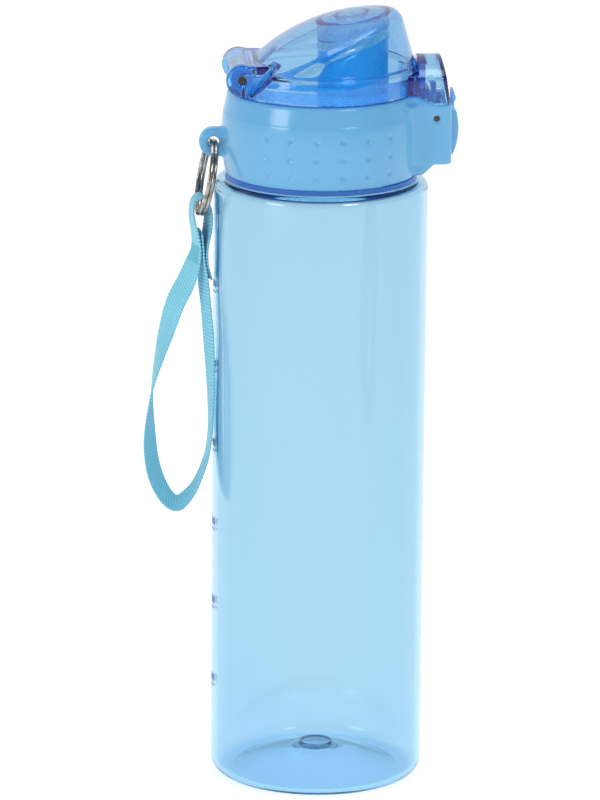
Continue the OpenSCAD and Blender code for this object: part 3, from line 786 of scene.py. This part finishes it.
# ---------------------------------------------------------------- printed volume scale
def printed_scale():
    """Ticks and numerals on the bottle's side, as a thin film of ink that follows the cylinder."""
    middle = 193.0                     # how far round the bottle the scale is, in degrees
    first_z, step = 31.3, 27.6         # height of the lowest tick, and from one to the next
    lift, ink_t = 0.02, 0.05
    bm = bmesh.new()

    def wrap(across, up, out):
        a = math.radians(middle) + across / BODY_R
        r = BODY_R + out
        return Vector((r * math.cos(a), r * math.sin(a), up)) * MM

    def patch(x0, x1, z, h):
        n = max(2, int(abs(x1 - x0) / 0.6))
        cols = []
        for i in range(n + 1):
            x = x0 + (x1 - x0) * i / n
            cols.append([bm.verts.new(wrap(x, z + dz, o)) for dz, o in
                         ((-h / 2, lift), (h / 2, lift), (h / 2, lift + ink_t), (-h / 2, lift + ink_t))])
        for a, b in zip(cols, cols[1:]):
            for j in range(4):
                bm.faces.new((a[j], a[(j + 1) % 4], b[(j + 1) % 4], b[j]))
        bm.faces.new(cols[0])
        bm.faces.new(cols[-1][::-1])

    for k in range(6):
        patch(-6.4, -1.4, first_z + step * k, 0.45)
    for k in range(1, 7):
        curve = bpy.data.curves.new("numeral", "FONT")
        curve.body = str(100 * k)
        curve.size = 3.8
        curve.extrude = ink_t / 2
        curve.resolution_u = 3
        obj = bpy.data.objects.new("numeral", curve)
        scene.collection.objects.link(obj)
        bpy.context.view_layer.update()
        mesh = obj.evaluated_get(bpy.context.evaluated_depsgraph_get()).to_mesh()
        z0 = first_z + step * (k - 1)
        new = [bm.verts.new(wrap(v.co.x - 6.4, z0 + v.co.y + 1.5, lift + ink_t / 2 + v.co.z))
               for v in mesh.vertices]
        for polygon in mesh.polygons:
            try:
                bm.faces.new([new[i] for i in polygon.vertices])
            except ValueError:
                pass
        bpy.data.objects.remove(obj)
        bpy.data.curves.remove(curve)
    mesh = bpy.data.meshes.new("scale_print")
    bm.to_mesh(mesh)
    bm.free()
    mesh.materials.append(ink)
    obj = bpy.data.objects.new("scale_print", mesh)
    scene.collection.objects.link(obj)
    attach(obj, "bottle")


printed_scale()


# ---------------------------------------------------------------- webbing strap
# The same middle line as the CAD strap: x, y, z in mm and the tilt of the width in degrees outwards
STRAP_ROUTE = [
    (-40.4, 0, 189, 6), (-40.05, 0, 184, 8), (-39.9, 0, 180, 10), (-39.6, -0.5, 176, 15),
    (-39.1, -1.5, 170, 19), (-38.3, -4, 162, 18), (-37.6, -6, 152, 18), (-37.0, -6, 140, 13),
    (-36.8, -6, 130, 8), (-37.0, -6, 121, 4), (-38.2, -5.5, 112, 3), (-41.4, -5, 103, 6),
    (-44.6, -4.5, 98, 12), (-48.0, -4, 95.4, 18), (-51.6, -3.5, 97.6, 24), (-55.0, -3, 104, 28),
    (-56.7, -2.5, 111, 28), (-57.3, -2, 119, 24), (-57.0, -1.5, 129, 10), (-56.0, -1, 137, 0),
    (-54.2, -0.5, 145, -12), (-51.8, 0, 154, -26), (-48.7, 0, 164, -34), (-45.3, 0, 171, -33),
    (-43.2, 0, 176.5, -28), (-41.7, 0, 182, -17), (-41.9, 0, 187, -13), (-42.9, 0, 192, -10),
    (-43.3, 0, 196, -6), (-42.7, 0, 199.4, -3), (-40.5, 0, 201.1, 0), (-38.4, 0, 199.4, 6),
    (-37.6, 0, 196, 11), (-37.8, 0, 191, 14), (-38.4, 0, 187, 12), (-38.85, 0, 183, 9),
    (-38.7, 0, 179, 8), (-38.2, 0, 176, 10), (-37.5, 0, 173, 12)]
STRAP_W, STRAP_T, RIB = 10.0, 0.8, 1.2


def catmull(points, per_span):
    """A smooth line through the points."""
    p = np.asarray(points, float)
    p = np.vstack([p[:1], p, p[-1:]])
    t = np.linspace(0, 1, per_span, endpoint=False)[:, None]
    out = [0.5 * (2 * b + (c - a) * t + (2 * a - 5 * b + 4 * c - d) * t ** 2
                  + (3 * b - a - 3 * c + d) * t ** 3)
           for a, b, c, d in zip(p, p[1:], p[2:], p[3:])]
    return np.vstack(out + [p[-1:]])


def even(points, step):
    """The same line, resampled every `step` along its length."""
    long = np.concatenate([[0], np.cumsum(np.linalg.norm(np.diff(points[:, :3], axis=0), axis=1))])
    at = np.linspace(0, long[-1], int(long[-1] / step) + 1)
    return np.stack([np.interp(at, long, points[:, k]) for k in range(points.shape[1])], 1), at


def strap_frames(line):
    """The strap's middle line, and at each of its points the ways across its width and its thickness."""
    p = line[:, :3]
    ahead = np.gradient(p, axis=0)
    ahead /= np.linalg.norm(ahead, axis=1)[:, None]
    n = np.cross(ahead, (0, 1, 0))
    n /= np.linalg.norm(n, axis=1)[:, None]
    tilt = np.radians(line[:, 3])[:, None]
    w = np.hstack([np.zeros_like(tilt), -np.cos(tilt), np.zeros_like(tilt)]) + np.sin(tilt) * n
    w /= np.linalg.norm(w, axis=1)[:, None]
    return p, w, np.cross(ahead, w)


def webbing_strap():
    """Plain-woven tape: ribs across it, and a knotted selvedge on each side."""
    line, at = even(catmull(STRAP_ROUTE, 12), RIB / 7)
    p, w, h = strap_frames(line)
    cols = 23
    across = np.concatenate([np.linspace(1, -1, cols), np.linspace(-1, 1, cols)])
    side = np.concatenate([np.ones(cols), -np.ones(cols)])
    far_out = np.abs(across)
    edge = np.clip((far_out - 0.86) / 0.1, 0, 1)
    rounding = np.sqrt(np.clip(1 - 0.8 * (np.clip(far_out - 0.93, 0, 1) / 0.07) ** 2, 0.1, 1))
    rings, groove_shades = [], []
    lowest = at[int(np.argmin(p[:, 2]))]
    for i, s in enumerate(at):
        skew = 0.15 + 1.5 * float(smooth_step((s - lowest + 15) / 30))
        rib = np.abs(np.cos(math.pi * (s / RIB + skew * across))) ** 0.6
        knot = abs(math.cos(math.pi * (s / RIB + 0.3))) ** 0.8
        thick = STRAP_T / 2 * (0.55 + 0.42 * (rib * (1 - edge) + knot * edge)) * rounding
        half = STRAP_W / 2 * (1 - 0.05 * (1 - knot) * edge)
        rings.append(p[i] + (across * half)[:, None] * w[i] + (side * thick)[:, None] * h[i])
        # How much painted shade the grooves and knot gaps get at each point.
        groove_shades.append((1 - rib) * (1 - edge) * 0.7 + (1 - knot) * edge)
    verts, faces = loft(np.array(rings) * MM)
    obj = add_mesh("strap_webbing", verts, faces, webbing, "strap", ["strap"], 60)
    marks = obj.data.attributes.new("groove_shade", "FLOAT", "POINT")
    marks.data.foreach_set("value", np.concatenate(groove_shades).astype(np.float32))


webbing_strap()


def strap_stitches():
    """The stitches that close the small loop round the split ring, on both of its outer faces."""
    line, at = even(catmull(STRAP_ROUTE, 12), 0.5)
    p, w, h = strap_frames(line)
    verts, faces = [], []

    def thread(path):
        v, f = loft(tube_rings(np.array(path), circle(0.16, 6), (0.3, 0.2, 1)) * MM)
        faces.extend(tuple(i + sum(len(x) for x in verts) for i in face) for face in f)
        verts.append(v)

    sewn = [i for i in range(len(at)) if 178.5 < p[i][2] < 184]
    outside = [(h[i] if h[i][0] < 0 else -h[i], i) for i in sewn if p[i][0] < -41]
    outside += [(h[i] if h[i][0] > 0 else -h[i], i) for i in sewn if at[i] > at[-1] - 16]
    steps = 16
    for n, i in outside:
        a, b = p[i] - w[i] * 4.2 + n * 0.34, p[i] + w[i] * 4.2 + n * 0.34
        thread([a + (b - a) * t / steps + n * 0.16 * abs(math.sin(math.pi * t / 2))
                for t in range(steps + 1)])
    add_mesh("strap_stitches", np.vstack(verts), faces, yarn, "strap")


strap_stitches()


# ---------------------------------------------------------------- split ring
def split_ring():
    """Flattened spring wire wound in two laps, with its ends at the step between the laps."""
    lug, ring_r, gap, lean, yaw = Vector((-36.1, 0, 219.8)), 12.5, 0.66, 10.5, 4.0
    place = (Matrix.Translation(lug) @ Matrix.Rotation(math.radians(lean), 4, "Y")
             @ Matrix.Rotation(math.radians(yaw), 4, "Z") @ Matrix.Translation((0, 0, -ring_r)))
    laps, steps, start = 1.985, 300, math.radians(200)
    path = []
    for i in range(steps + 1):
        a = 2 * math.pi * laps * i / steps
        shift = -gap + 2 * gap * float(smooth_step((a - math.radians(345)) / math.radians(28)))
        path.append(place @ Vector((shift, ring_r * math.sin(a + start), ring_r * math.cos(a + start))))
    centre = np.array(place @ Vector((0, 0, 0)))
    path = np.array([list(q) for q in path])

    def flattened(value, half):
        return half * math.copysign(abs(value) ** 0.75, value)

    section = [(flattened(math.cos(t), 0.69), flattened(math.sin(t), 0.66))
               for t in np.linspace(0, 2 * math.pi, 17)[:-1]]
    rings = tube_rings(path, section, path - centre)
    ends = np.concatenate([[0.55, 0.85], np.ones(len(path) - 4), [0.85, 0.55]])
    rings = path[:, None] + (rings - path[:, None]) * ends[:, None, None]
    verts, faces = loft(rings * MM)
    add_mesh("split_ring_wire", verts, faces, steel_ring, "ring", ["split_ring"], 50)


split_ring()


# ---------------------------------------------------------------- lid spring
def lid_spring():
    """A torsion spring round the hinge pin, with a leg at each end."""
    low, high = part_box("hinge_pin")
    x, z = (low.x + high.x) / 2 / MM, (low.z + high.z) / 2 / MM
    r, turns, half = 2.6, 8, 5.6
    coil = []
    for t in np.linspace(0, 1, turns * 36 + 1):
        a = math.radians(250) - 2 * math.pi * turns * t
        coil.append((x + r * math.cos(a), -half + 2 * half * t, z + r * math.sin(a)))
    first, last = np.array(coil[0]), np.array(coil[-1])
    path = np.array([first + (5.5, 0, -1.4), first + (2.5, 0, -0.75)] + coil
                    + [last + (3, 0, 0.1), last + (6.5, 0, 0.3)])
    verts, faces = loft(tube_rings(path, circle(0.4, 10), (0, 1, 0)) * MM)
    add_mesh("lid_spring_wire", verts, faces, steel_bright, "cap", ["lid_spring"], 50)


lid_spring()


# ---------------------------------------------------------------- button spring
def button_spring():
    """The small coil behind the push button."""
    low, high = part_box("button_spring")
    wire, r, turns, steps = 0.25, 2.0, 6, 24
    x0, x1, z = low.x / MM + wire, high.x / MM - wire, (low.z + high.z) / 2 / MM
    coil = [(x0 + (x1 - x0) * i / (turns * steps), r * math.cos(2 * math.pi * i / steps),
             z + r * math.sin(2 * math.pi * i / steps)) for i in range(turns * steps + 1)]
    verts, faces = loft(tube_rings(coil, circle(wire, 8), (1, 0, 0)) * MM)
    piece = add_mesh("button_spring_wire", verts, faces, steel_bright, "cap", ["button_spring"], 50)
    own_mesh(piece)


button_spring()
